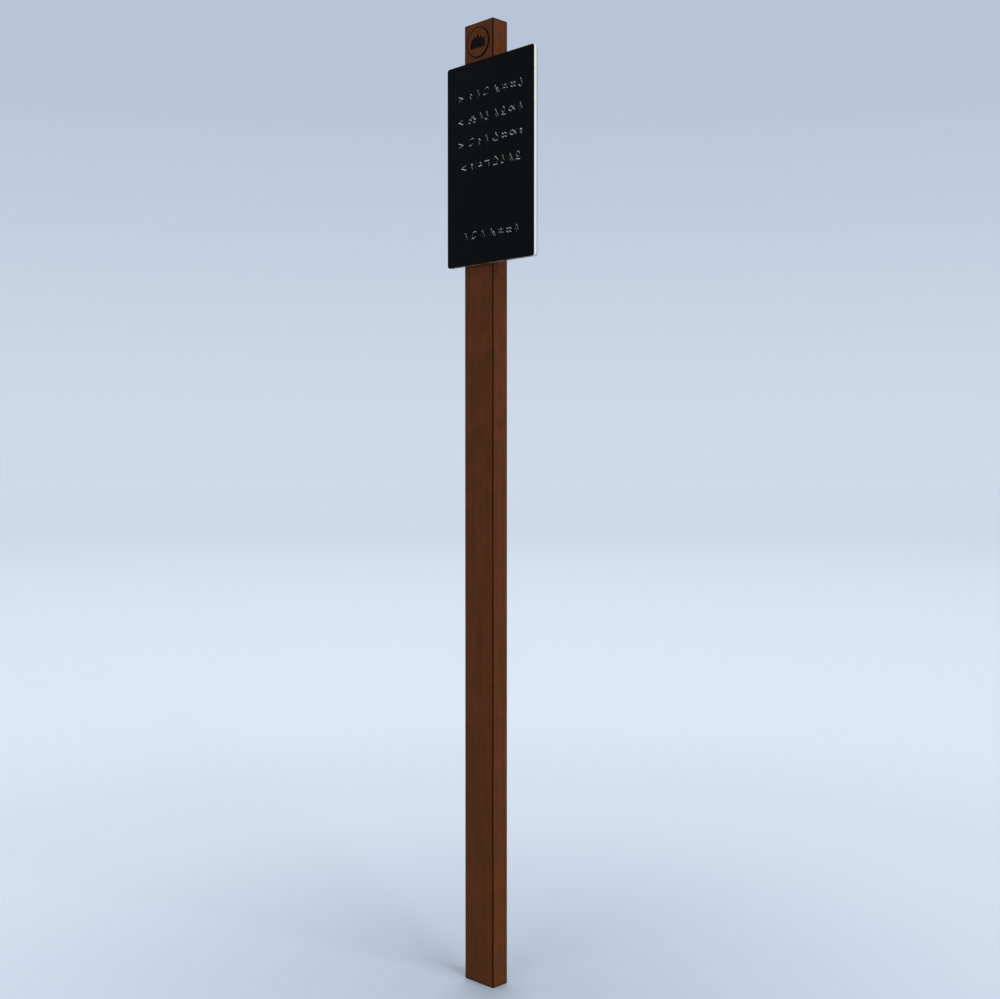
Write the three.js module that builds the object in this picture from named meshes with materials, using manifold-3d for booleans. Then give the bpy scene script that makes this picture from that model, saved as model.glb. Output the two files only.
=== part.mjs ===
// Park interpretation sign: a routed three-layer panel, bolted from behind to one tall post.
// Lengths are millimetres and +Z is up. The origin is the centre of the post's foot.
// The sign faces -Y, and +X is to the right of someone who reads it.

import * as THREE from "three";
import { mergeVertices } from "three/addons/utils/BufferGeometryUtils.js";
import Module from "manifold-3d";

const wasm = await Module();
wasm.setup();

// Post: one whole length of brown plastic lumber, its lower end set in the ground.
const postWidth = 101.6;
const postDepth = 50.8;
const postHeight = 2438.4;
const postEdgeRadius = 1.2;
const postEndBevel = 0.8;

// Round disc on the post's front, above the panel, with two pegs that press into the post.
const discDiameter = 76.2;
const discThickness = 3.175;
const discRimChamfer = 0.4;
const discDrop = 50.8;
const pegDiameter = 6.35;
const pegLength = 12.7;
const pegTipChamfer = 0.8;
const pegPitch = 38.1;
const pegHoleSpare = 1.3;

// Panel: a white core between two thin black skins, made as one sheet and cut to shape.
// Its centre line lies to the right of the post's by the panel's shift.
const panelWidth = 304.8;
const panelHeight = 508;
const panelCornerRadius = 6.35;
const panelDrop = 101.6;
const panelShift = 50.8;
const skinThickness = 1.27;
const coreThickness = 10.16;

// Grid of fasteners between the post and the panel.
const columnNames = ["left", "right"];
const rowNames = ["top", "middle", "bottom"];
const columnPitch = 50.8;
const rowMargin = 50.8;

// Bolt: a round head with a pinned hexagon socket, sunk in the post's back.
const boltDiameter = 6.35;
const boltTipChamfer = 0.8;
const boltEngagement = 7.875;
const headDiameter = 11.1;
const headFlatDiameter = 6.2;
const headHeight = 3.35;
const headRimHeight = 0.6;
const socketAcrossFlats = 3.97;
const socketDepth = 2.1;
const socketPinDiameter = 1.4;

// Washer under each head, and the stepped hole that takes them both.
const washerDiameter = 19.05;
const washerThickness = 1.65;
const counterboreDepth = 15.875;
const counterboreGap = 1.5;
const boltHoleGap = 0.8;

// Threaded insert, pressed into the panel from behind.
const insertDiameter = 9.5;
const insertLength = 9.5;
const insertFlangeDiameter = 12.7;
const insertGrooveDepth = 0.45;
const insertGrooveWidth = 1;
const insertGrooveCount = 2;

// Clearance between pieces that seat in each other, and how far a cutter runs past a face.
const fitGap = 0.3;
const overrun = 1;
const mergeDistance = 0.001;

// Facets.
const edgeSteps = 4;
const cornerSteps = 6;
const discSteps = 64;
const holeSteps = 24;
const boltSteps = 18;
const domeSteps = 3;
const socketSides = 6;

// Planes and places that follow from the sizes above.
const postFrontY = -postDepth / 2;
const postBackY = postDepth / 2;
const panelTopZ = postHeight - panelDrop;
const panelCentreZ = panelTopZ - panelHeight / 2;
const rowPitch = (panelHeight - 2 * rowMargin) / (rowNames.length - 1);
const counterboreFloorY = postBackY - counterboreDepth;
const boltSeatY = counterboreFloorY + washerThickness;
const boltLength = boltSeatY - postFrontY + boltEngagement;
const flangeThickness = skinThickness - fitGap;
const discCentreZ = postHeight - discDrop;
const pegPlaces = [-pegPitch / 2, pegPitch / 2];

const brownLumber = new THREE.MeshStandardMaterial({ color: 0x4f2c19, roughness: 0.7, metalness: 0 });
const brownDisc = new THREE.MeshStandardMaterial({ color: 0x4c2a18, roughness: 0.6, metalness: 0 });
const blackSkin = new THREE.MeshStandardMaterial({ color: 0x111111, roughness: 0.5, metalness: 0 });
const whiteCore = new THREE.MeshStandardMaterial({ color: 0xdfe3de, roughness: 0.5, metalness: 0 });
const stainless = new THREE.MeshStandardMaterial({ color: 0xb4b6b8, roughness: 0.3, metalness: 1 });
const brass = new THREE.MeshStandardMaterial({ color: 0xb08d4a, roughness: 0.35, metalness: 1 });

// A closed geometry as a solid that can be joined and cut.
function solidOf(geometry) {
  const bare = geometry.clone();
  bare.deleteAttribute("normal");
  bare.deleteAttribute("uv");
  const merged = mergeVertices(bare, mergeDistance);
  return new wasm.Manifold(
    new wasm.Mesh({
      numProp: 3,
      vertProperties: merged.getAttribute("position").array,
      triVerts: new Uint32Array(merged.index.array),
    }),
  );
}

// A solid as a geometry with flat facets.
function geometryOf(solid) {
  const { vertProperties, triVerts } = solid.getMesh();
  const indexed = new THREE.BufferGeometry();
  indexed.setAttribute("position", new THREE.BufferAttribute(vertProperties, 3));
  indexed.setIndex(new THREE.BufferAttribute(triVerts, 1));
  const faceted = indexed.toNonIndexed();
  faceted.computeVertexNormals();
  return faceted;
}

// The stock geometry with every cutter taken away.
function cut(stock, cutters) {
  const start = solidOf(stock);
  const left = cutters.reduce((solid, cutter) => solid.subtract(solidOf(cutter)), start);
  return geometryOf(left);
}

// The stock geometry with every other geometry joined to it.
function join(stock, others) {
  const start = solidOf(stock);
  return geometryOf(others.reduce((solid, other) => solid.add(solidOf(other)), start));
}

// A rectangle with round corners, centred on its origin.
function roundedRectangle(width, height, radius) {
  const x = width / 2 - radius;
  const y = height / 2 - radius;
  const outline = new THREE.Shape();
  outline.absarc(x, y, radius, 0, Math.PI / 2);
  outline.absarc(-x, y, radius, Math.PI / 2, Math.PI);
  outline.absarc(-x, -y, radius, Math.PI, 1.5 * Math.PI);
  outline.absarc(x, -y, radius, 1.5 * Math.PI, 2 * Math.PI);
  return outline;
}

// One flat layer of the panel, whose faces lie on two planes across Y.
// Both planes are written into the vertices, so that layers meet face to face.
function layer(frontY, backY) {
  const outline = roundedRectangle(panelWidth, panelHeight, panelCornerRadius);
  const thickness = backY - frontY;
  const options = { depth: thickness, bevelEnabled: false, curveSegments: cornerSteps };
  const geometry = new THREE.ExtrudeGeometry(outline, options).rotateX(Math.PI / 2);
  const position = geometry.getAttribute("position");
  for (let i = 0; i < position.count; i += 1) {
    const isFront = position.getY(i) < -thickness / 2;
    position.setY(i, isFront ? frontY : backY);
  }
  return geometry;
}

// A round cutter along Y at x and z, from one plane to another.
function drill(x, z, fromY, toY, diameter) {
  const radius = diameter / 2;
  const length = Math.abs(toY - fromY);
  const geometry = new THREE.CylinderGeometry(radius, radius, length, holeSteps);
  return geometry.translate(x, (fromY + toY) / 2, z);
}

// A turned piece on the Y axis; a profile that doesn't reach the axis closes on itself.
function turned(profile, steps) {
  const points = profile.map(([radius, y]) => new THREE.Vector2(radius, y));
  return new THREE.LatheGeometry(points, steps);
}

// Places of the fasteners on the post, each with the words that name it.
function fastenerPlaces() {
  return rowNames.flatMap((rowName, row) =>
    columnNames.map((columnName, column) => ({
      name: `${rowName}_${columnName}`,
      x: (column - (columnNames.length - 1) / 2) * columnPitch,
      z: panelTopZ - rowMargin - row * rowPitch,
    })),
  );
}

// Disc with its back at 0 and its face towards -Y, and a peg behind it at each peg's place.
function discGeometry() {
  const radius = discDiameter / 2;
  const disc = turned(
    [
      [0, -discThickness],
      [radius - discRimChamfer, -discThickness],
      [radius, -discThickness + discRimChamfer],
      [radius, 0],
      [0, 0],
    ],
    discSteps,
  );
  const pegRadius = pegDiameter / 2;
  const pegProfile = [
    [0, -discThickness / 2],
    [pegRadius, -discThickness / 2],
    [pegRadius, pegLength - pegTipChamfer],
    [pegRadius - pegTipChamfer, pegLength],
    [0, pegLength],
  ];
  const pegs = pegPlaces.map((x) => turned(pegProfile, holeSteps).translate(x, 0, 0));
  return join(disc, pegs);
}

// Post with eased edges, a blind hole for each peg and a stepped hole for each bolt.
function postGeometry(places) {
  const outline = roundedRectangle(postWidth, postDepth, postEdgeRadius);
  const stock = new THREE.ExtrudeGeometry(outline, {
    depth: postHeight - 2 * postEndBevel,
    bevelThickness: postEndBevel,
    bevelSize: postEndBevel,
    bevelOffset: -postEndBevel,
    bevelSegments: 1,
    curveSegments: edgeSteps,
  }).translate(0, 0, postEndBevel);
  const boltHole = boltDiameter + 2 * boltHoleGap;
  const counterbore = washerDiameter + 2 * counterboreGap;
  const holes = places.flatMap(({ x, z }) => [
    drill(x, z, postFrontY - overrun, postBackY + overrun, boltHole),
    drill(x, z, counterboreFloorY, postBackY + overrun, counterbore),
  ]);
  const pegFloorY = postFrontY + pegLength + pegHoleSpare;
  const pegHoles = pegPlaces.map((x) =>
    drill(x, discCentreZ, postFrontY - overrun, pegFloorY, pegDiameter + 2 * fitGap),
  );
  return cut(stock, [...pegHoles, ...holes]);
}

// Pockets for the inserts, in the panel's own frame: x and z from its centre, y from its back.
function insertPockets(places, diameter, fromY, toY) {
  return places.map(({ x, z }) => drill(x - panelShift, z - panelCentreZ, fromY, toY, diameter));
}

// The sheet's three layers, from the face that meets the post to the face that is read.
function panelGeometries(places) {
  const coreBackY = -skinThickness;
  const coreFrontY = coreBackY - coreThickness;
  const frontY = coreFrontY - skinThickness;
  const flangePocket = insertFlangeDiameter + 2 * fitGap;
  const bodyPocket = insertDiameter + 2 * fitGap;
  const pocketFloorY = -insertLength - fitGap;
  return {
    panel_front_skin: layer(frontY, coreFrontY),
    panel_core: cut(
      layer(coreFrontY, coreBackY),
      insertPockets(places, bodyPocket, pocketFloorY, coreBackY + overrun),
    ),
    panel_rear_skin: cut(
      layer(coreBackY, 0),
      insertPockets(places, flangePocket, coreBackY - overrun, overrun),
    ),
  };
}

// Bolt along Y with its head's underside at 0 and its head towards +Y.
function boltGeometry() {
  const radius = boltDiameter / 2;
  const dome = Array.from({ length: domeSteps + 1 }, (_, i) => {
    const turn = (i / domeSteps) * (Math.PI / 2);
    const reach = (headDiameter - headFlatDiameter) / 2;
    const rise = headHeight - headRimHeight;
    return [
      headFlatDiameter / 2 + reach * Math.cos(turn),
      headRimHeight + rise * Math.sin(turn),
    ];
  });
  const profile = [
    [0, -boltLength],
    [radius - boltTipChamfer, -boltLength],
    [radius, -boltLength + boltTipChamfer],
    [radius, 0],
    [headDiameter / 2, 0],
    ...dome,
    [0, headHeight],
  ];
  const socketRadius = socketAcrossFlats / 2 / Math.cos(Math.PI / socketSides);
  const socketLength = socketDepth + overrun;
  const socketMiddle = headHeight - socketDepth + socketLength / 2;
  const hexagon = new THREE.CylinderGeometry(socketRadius, socketRadius, socketLength, socketSides);
  const pinRadius = socketPinDiameter / 2;
  const pin = new THREE.CylinderGeometry(pinRadius, pinRadius, socketLength + overrun, boltSteps);
  const socket = solidOf(hexagon).subtract(solidOf(pin));
  return cut(turned(profile, boltSteps), [geometryOf(socket).translate(0, socketMiddle, 0)]);
}

// Flat washer that lies from 0 to its thickness along Y.
function washerGeometry() {
  const inner = boltDiameter / 2 + fitGap;
  const outer = washerDiameter / 2;
  const profile = [
    [inner, 0],
    [outer, 0],
    [outer, washerThickness],
    [inner, washerThickness],
    [inner, 0],
  ];
  return turned(profile, holeSteps);
}

// Threaded insert that reaches from its flange's outer face at 0 towards -Y.
function insertGeometry() {
  const bore = boltDiameter / 2 + fitGap;
  const body = insertDiameter / 2;
  const groove = body - insertGrooveDepth;
  const flange = insertFlangeDiameter / 2;
  const bodyLength = insertLength - flangeThickness;
  const pitch = bodyLength / insertGrooveCount;
  const grooves = Array.from({ length: insertGrooveCount }, (_, i) => {
    const middle = -insertLength + (i + 0.5) * pitch;
    return [
      [body, middle - insertGrooveWidth / 2],
      [groove, middle - insertGrooveWidth / 2],
      [groove, middle + insertGrooveWidth / 2],
      [body, middle + insertGrooveWidth / 2],
    ];
  }).flat();
  const profile = [
    [bore, -insertLength],
    [body, -insertLength],
    ...grooves,
    [body, -flangeThickness],
    [flange, -flangeThickness],
    [flange, 0],
    [bore, 0],
    [bore, -insertLength],
  ];
  return turned(profile, boltSteps);
}

function namedMesh(name, geometry, material) {
  const mesh = new THREE.Mesh(geometry, material);
  mesh.name = name;
  return mesh;
}

const places = fastenerPlaces();
const sign = new THREE.Group();
sign.add(namedMesh("post", postGeometry(places), brownLumber));

const disc = namedMesh("emblem_disc", discGeometry(), brownDisc);
disc.position.set(0, postFrontY, discCentreZ);
sign.add(disc);

const panel = new THREE.Group();
panel.position.set(panelShift, postFrontY, panelCentreZ);
const layers = panelGeometries(places);
panel.add(
  namedMesh("panel_front_skin", layers.panel_front_skin, blackSkin),
  namedMesh("panel_core", layers.panel_core, whiteCore),
  namedMesh("panel_rear_skin", layers.panel_rear_skin, blackSkin),
);
sign.add(panel);

const boltShape = boltGeometry();
const washerShape = washerGeometry();
const insertShape = insertGeometry();
for (const { name, x, z } of places) {
  const bolt = namedMesh(`bolt_${name}`, boltShape, stainless);
  bolt.position.y = boltSeatY;
  const washer = namedMesh(`washer_${name}`, washerShape, stainless);
  washer.position.y = counterboreFloorY;
  const insert = namedMesh(`insert_${name}`, insertShape, brass);
  insert.position.y = postFrontY;
  const fastener = new THREE.Group();
  fastener.position.set(x, 0, z);
  fastener.add(bolt, washer, insert);
  sign.add(fastener);
}

export default sign;
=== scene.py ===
"""Looks of a park sign: a brown plastic lumber post with a routed black and white panel.

Every object is in metres, with +Z up and the origin at the centre of the post's foot. The sign
faces -Y, and +X is to the right of someone who reads it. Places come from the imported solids, and
the sizes of fine detail are named beside the sub-assembly that they belong to.
"""

from __future__ import annotations

import logging
import math
import random
from collections.abc import Callable, Iterable, Iterator, Mapping, Sequence
from contextlib import contextmanager
from dataclasses import dataclass, field
from enum import Enum

import bmesh
import bpy
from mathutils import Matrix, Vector


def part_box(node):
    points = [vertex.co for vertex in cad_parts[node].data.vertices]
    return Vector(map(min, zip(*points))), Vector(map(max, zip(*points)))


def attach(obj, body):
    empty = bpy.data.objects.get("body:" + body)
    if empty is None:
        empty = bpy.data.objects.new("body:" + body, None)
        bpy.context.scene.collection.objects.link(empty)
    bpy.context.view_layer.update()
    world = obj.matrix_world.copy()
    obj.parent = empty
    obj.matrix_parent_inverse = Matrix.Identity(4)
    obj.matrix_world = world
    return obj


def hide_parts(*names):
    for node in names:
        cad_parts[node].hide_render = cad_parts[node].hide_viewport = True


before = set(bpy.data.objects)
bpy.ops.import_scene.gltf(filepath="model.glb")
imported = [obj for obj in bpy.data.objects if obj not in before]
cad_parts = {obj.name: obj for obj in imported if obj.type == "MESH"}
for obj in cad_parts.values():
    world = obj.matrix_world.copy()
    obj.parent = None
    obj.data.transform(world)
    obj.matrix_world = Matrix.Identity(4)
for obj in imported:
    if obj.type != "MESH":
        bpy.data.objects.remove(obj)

MM = 0.001
BODY = "root"
CUT_MARGIN = 1 * MM
MERGE_DISTANCE = 0.002 * MM
PLANE_TOLERANCE = 0.01 * MM
FLAT_ANGLE = math.radians(0.05)
SMOOTH_ANGLE = math.radians(32)

Piece = bpy.types.Object
Socket = bpy.types.NodeSocket
Value = float | Sequence[float] | bpy.types.NodeSocket
Point = tuple[float, float]
Stroke = Sequence[Point]

log = logging.getLogger("park_sign")


class Slot(Enum):
    """Material slots of the part's record."""

    LUMBER = "brown_lumber"
    DISC = "brown_disc"
    SKIN = "black_skin"
    CORE = "white_core"
    STAINLESS = "stainless"
    BRASS = "insert_brass"


class Kind(Enum):
    """What an edit-mode selection picks."""

    VERTS = "VERT"
    EDGES = "EDGE"
    FACES = "FACE"


def paint(code: str) -> tuple[float, float, float, float]:
    """Turns a screen colour into the linear colour that a node takes.

    Args:
        code: Colour as a hash and six hexadecimal digits.

    Returns:
        Linear red, green, blue and an alpha of one.
    """
    parts = [int(code[i : i + 2], 16) / 255 for i in (1, 3, 5)]
    red, green, blue = (p / 12.92 if p <= 0.04045 else ((p + 0.055) / 1.055) ** 2.4 for p in parts)
    return red, green, blue, 1.0


# Modelling moves shared by every piece.


def put_down() -> None:
    """Deselects everything, so that the next operator acts on one piece."""
    bpy.ops.object.select_all(action="DESELECT")


def take(piece: Piece) -> Piece:
    """Makes one piece the only selected and active one."""
    put_down()
    piece.select_set(True)
    bpy.context.view_layer.objects.active = piece
    return piece


def settle(piece: Piece, name: str = "") -> Piece:
    """Moves a piece's place into its mesh and names it.

    Args:
        piece: Object whose location, rotation and scale are applied.
        name: New name for the object and its mesh, if any.

    Returns:
        The same piece, at the origin.
    """
    take(piece)
    bpy.ops.object.transform_apply(location=True, rotation=True, scale=True)
    if name:
        piece.name = name
        piece.data.name = name
    return piece


@contextmanager
def editing(piece: Piece) -> Iterator[Piece]:
    """Holds a piece in edit mode, with nothing selected at first."""
    take(piece)
    bpy.ops.object.mode_set(mode="EDIT")
    bpy.ops.mesh.select_all(action="DESELECT")
    try:
        yield piece
    finally:
        bpy.ops.object.mode_set(mode="OBJECT")


def choose(piece: Piece, kind: Kind, test: Callable[..., bool]) -> int:
    """Selects the parts of a mesh that pass a test, while the piece is in edit mode.

    Args:
        piece: Piece in edit mode.
        kind: Vertices, edges or faces.
        test: Takes one vertex, edge or face and says whether it is wanted.

    Returns:
        How many were selected.
    """
    bpy.ops.mesh.select_mode(type=kind.value)
    bpy.ops.mesh.select_all(action="DESELECT")
    mesh = bmesh.from_edit_mesh(piece.data)
    found = [part for part in getattr(mesh, kind.name.lower()) if test(part)]
    for part in found:
        part.select_set(True)
    mesh.select_flush_mode()
    bmesh.update_edit_mesh(piece.data)
    return len(found)


def runs_along(edge: bmesh.types.BMEdge, axis: int) -> bool:
    """Says whether an edge is parallel to the X, Y or Z axis."""
    way = edge.verts[1].co - edge.verts[0].co
    return all(abs(way[other]) < PLANE_TOLERANCE for other in range(3) if other != axis)


def lies_at(edge: bmesh.types.BMEdge, axis: int, places: Iterable[float]) -> bool:
    """Says whether both ends of an edge lie in one of the planes across an axis."""
    return any(all(abs(v.co[axis] - at) < PLANE_TOLERANCE for v in edge.verts) for at in places)


def block(name: str, low: Vector, high: Vector) -> Piece:
    """Adds a box between two corners."""
    bpy.ops.mesh.primitive_cube_add(size=1, location=(low + high) / 2, scale=high - low)
    return settle(bpy.context.object, name)


def rod(name: str, centre: Vector, radius: float, near: float, far: float, sides: int) -> Piece:
    """Adds a round bar along Y.

    Args:
        name: Name of the bar.
        centre: Any point on its axis.
        radius: Its radius.
        near: Y of its front end.
        far: Y of its back end.
        sides: Number of sides.

    Returns:
        The bar, closed at both ends.
    """
    bpy.ops.mesh.primitive_cylinder_add(
        vertices=sides,
        radius=radius,
        depth=far - near,
        location=(centre.x, (near + far) / 2, centre.z),
        rotation=(math.pi / 2, 0, 0),
    )
    return settle(bpy.context.object, name)


def turned(name: str, centre: Vector, profile: Sequence[Point], sides: int) -> Piece:
    """Models a solid of revolution about Y, ring by ring from its first end to its last.

    Args:
        name: Name of the piece.
        centre: A point on the axis; its Y is the profile's zero.
        profile: Radius and Y of each ring, from the front end to the back end.
        sides: Number of sides.

    Returns:
        The turned piece, closed, with its faces pointing out.
    """
    radius, y = profile[0]
    bpy.ops.mesh.primitive_circle_add(
        vertices=sides,
        radius=radius,
        fill_type="NGON",
        location=(centre.x, centre.y + y, centre.z),
        rotation=(math.pi / 2, 0, 0),
    )
    piece = settle(bpy.context.object, name)
    with editing(piece):
        bpy.ops.mesh.select_mode(type="FACE")
        bpy.ops.mesh.select_all(action="SELECT")
        for (last_radius, last_y), (next_radius, next_y) in zip(profile, profile[1:]):
            growth = next_radius / last_radius
            bpy.ops.mesh.extrude_region_move(
                TRANSFORM_OT_translate={"value": (0, next_y - last_y, 0)}
            )
            bpy.ops.transform.resize(
                value=(growth, 1, growth),
                center_override=(centre.x, centre.y + next_y, centre.z),
            )
        close_up()
    return piece


def close_up() -> None:
    """Merges doubled vertices of the mesh in edit mode, then points its faces out."""
    bpy.ops.mesh.select_all(action="SELECT")
    bpy.ops.mesh.remove_doubles(threshold=MERGE_DISTANCE)
    bpy.ops.mesh.normals_make_consistent(inside=False)


def apply_all(piece: Piece) -> Piece:
    """Applies every modifier of a piece, in order."""
    take(piece)
    for modifier in list(piece.modifiers):
        bpy.ops.object.modifier_apply(modifier=modifier.name)
    return piece


def combine(piece: Piece, tool: Piece, operation: str) -> Piece:
    """Joins or cuts a piece with a tool, and throws the tool away.

    Args:
        piece: Solid to change.
        tool: Solid that is added or taken away.
        operation: UNION or DIFFERENCE.

    Returns:
        The changed piece.
    """
    change = piece.modifiers.new("combine", "BOOLEAN")
    change.operation = operation
    change.solver = "MANIFOLD"
    change.object = tool
    apply_all(piece)
    throw_away(tool)
    return piece


def throw_away(piece: Piece) -> None:
    """Deletes a piece and its mesh."""
    mesh = piece.data
    bpy.data.objects.remove(piece)
    bpy.data.meshes.remove(mesh)


def copied(piece: Piece, name: str, offset: Vector, size: float = 1) -> Piece:
    """Copies a piece with its own mesh, then resizes the copy across Y and moves it."""
    twin = piece.copy()
    twin.data = piece.data.copy()
    bpy.context.scene.collection.objects.link(twin)
    twin.scale = (size, 1, size)
    twin.location = offset
    return settle(twin, name)


def joined(pieces: Sequence[Piece], name: str) -> Piece:
    """Puts several separate meshes into one object."""
    put_down()
    for piece in pieces:
        piece.select_set(True)
    bpy.context.view_layer.objects.active = pieces[0]
    bpy.ops.object.join()
    return settle(pieces[0], name)


def smooth(piece: Piece) -> Piece:
    """Smooths the shading across the flatter edges, by the area of the faces there."""
    take(piece)
    bpy.ops.object.shade_smooth_by_angle(angle=SMOOTH_ANGLE)
    weigh = piece.modifiers.new("weigh", "WEIGHTED_NORMAL")
    weigh.keep_sharp = True
    return apply_all(piece)


def tidy_faces(piece: Piece) -> Piece:
    """Melts the flat slivers that a cut leaves back into whole faces, and drops loose ones."""
    with editing(piece):
        bpy.ops.mesh.select_mode(type="FACE")
        bpy.ops.mesh.select_all(action="SELECT")
        bpy.ops.mesh.remove_doubles(threshold=MERGE_DISTANCE)
        bpy.ops.mesh.dissolve_limited(angle_limit=FLAT_ANGLE)
        choose(piece, Kind.FACES, lambda f: all(e.is_boundary for e in f.edges))
        bpy.ops.mesh.delete(type="FACE")
    return piece


def dress(piece: Piece, material: bpy.types.Material, nodes: Sequence[str]) -> Piece:
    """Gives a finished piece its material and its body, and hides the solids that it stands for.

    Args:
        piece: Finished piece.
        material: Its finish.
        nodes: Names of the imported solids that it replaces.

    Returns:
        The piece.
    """
    piece.data.materials.clear()
    piece.data.materials.append(material)
    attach(piece, BODY)
    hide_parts(*nodes)
    log.info("%s: %d faces, stands for %s", piece.name, len(piece.data.polygons), ", ".join(nodes))
    return piece


@dataclass
class NodeSheet:
    """The nodes of one material or world, added and linked from left to right."""

    tree: bpy.types.NodeTree

    @classmethod
    def of_material(cls, name: str) -> tuple[bpy.types.Material, "NodeSheet"]:
        """Starts a new material with no nodes in it."""
        material = bpy.data.materials.new(name)
        material.use_nodes = True
        material.node_tree.nodes.clear()
        return material, cls(material.node_tree)

    def add(
        self, kind: str, inputs: Mapping[str | int, Value] | None = None, **settings: object
    ) -> bpy.types.Node:
        """Adds one node.

        Args:
            kind: Blender's name for the node's type.
            inputs: Values or sockets by input name or number.
            **settings: Options of the node itself.

        Returns:
            The new node.
        """
        node = self.tree.nodes.new(kind)
        for name, value in settings.items():
            setattr(node, name, value)
        for key, value in (inputs or {}).items():
            if isinstance(value, bpy.types.NodeSocket):
                self.tree.links.new(value, node.inputs[key])
            else:
                node.inputs[key].default_value = value
        return node

    def math(self, operation: str, *values: Value) -> Socket:
        """Adds a sum, product or other step on numbers."""
        return self.add("ShaderNodeMath", dict(enumerate(values)), operation=operation).outputs[0]

    def mixed(self, share: float, first: Value, second: Value) -> Socket:
        """Adds a share of one number to the rest of another."""
        kept = self.math("MULTIPLY", first, share)
        return self.math("ADD", kept, self.math("MULTIPLY", second, 1 - share))

    def vector(self, operation: str, *values: Value) -> Socket:
        """Adds a step on vectors."""
        return self.add("ShaderNodeVectorMath", dict(enumerate(values)), operation=operation).outputs[0]

    def length(self, vector: Value) -> Socket:
        """Measures a vector."""
        return self.add("ShaderNodeVectorMath", {0: vector}, operation="LENGTH").outputs["Value"]

    def place(self) -> Socket:
        """Gives the place on the piece, in metres."""
        return self.add("ShaderNodeTexCoord").outputs["Object"]

    def parts(self, vector: Value) -> tuple[Socket, Socket, Socket]:
        """Splits a vector into its X, Y and Z."""
        split = self.add("ShaderNodeSeparateXYZ", {0: vector})
        return split.outputs[0], split.outputs[1], split.outputs[2]

    def stretched(self, vector: Value, scale: Sequence[float]) -> Socket:
        """Scales a place along each axis, so that a pattern lies long or wide."""
        return self.add("ShaderNodeMapping", {"Vector": vector, "Scale": scale}).outputs[0]

    def noise(self, vector: Value, scale: float = 1, detail: float = 2, rough: float = 0.5) -> Socket:
        """Adds soft noise between 0 and 1."""
        inputs = {"Vector": vector, "Scale": scale, "Detail": detail, "Roughness": rough}
        return self.add("ShaderNodeTexNoise", inputs).outputs["Fac"]

    def between(self, value: Value, start: float, end: float) -> Socket:
        """Rises from 0 at the start value to 1 at the end value, with soft ends."""
        inputs = {"Value": value, "From Min": start, "From Max": end}
        return self.add("ShaderNodeMapRange", inputs, interpolation_type="SMOOTHSTEP").outputs[0]

    def span(self, value: Value, low: float, high: float) -> Socket:
        """Spreads a value from 0 to 1 over another range."""
        inputs = {"Value": value, "To Min": low, "To Max": high}
        return self.add("ShaderNodeMapRange", inputs).outputs[0]

    def blend(self, share: Value, first: Value, second: Value) -> Socket:
        """Mixes two colours."""
        inputs = {0: share, 6: first, 7: second}
        return self.add("ShaderNodeMix", inputs, data_type="RGBA").outputs[2]

    def ramp(self, value: Value, places: Sequence[float], codes: Sequence[str]) -> Value:
        """Turns from one screen colour to the next as a value passes from place to place."""
        colour: Value = paint(codes[0])
        for start, end, code in zip(places, places[1:], codes[1:]):
            colour = self.blend(self.between(value, start, end), colour, paint(code))
        return colour

    def bump(
        self, height: Value, depth: float, strength: float = 0.5, under: Socket | None = None
    ) -> Socket:
        """Turns a height from 0 to 1 into a bumped normal.

        Args:
            height: Height from 0 to 1.
            depth: Real height of a step from 0 to 1, in metres.
            strength: Share of the effect that is kept.
            under: Normal of a coarser bump that this one lies on.

        Returns:
            The bumped normal.
        """
        inputs: dict[str | int, Value] = {"Height": height, "Distance": depth, "Strength": strength}
        if under is not None:
            inputs["Normal"] = under
        return self.add("ShaderNodeBump", inputs).outputs[0]

    def surface(self, inputs: Mapping[str | int, Value]) -> None:
        """Ends a material with one surface shader."""
        shader = self.add("ShaderNodeBsdfPrincipled", inputs)
        self.add("ShaderNodeOutputMaterial", {"Surface": shader.outputs[0]})


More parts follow.
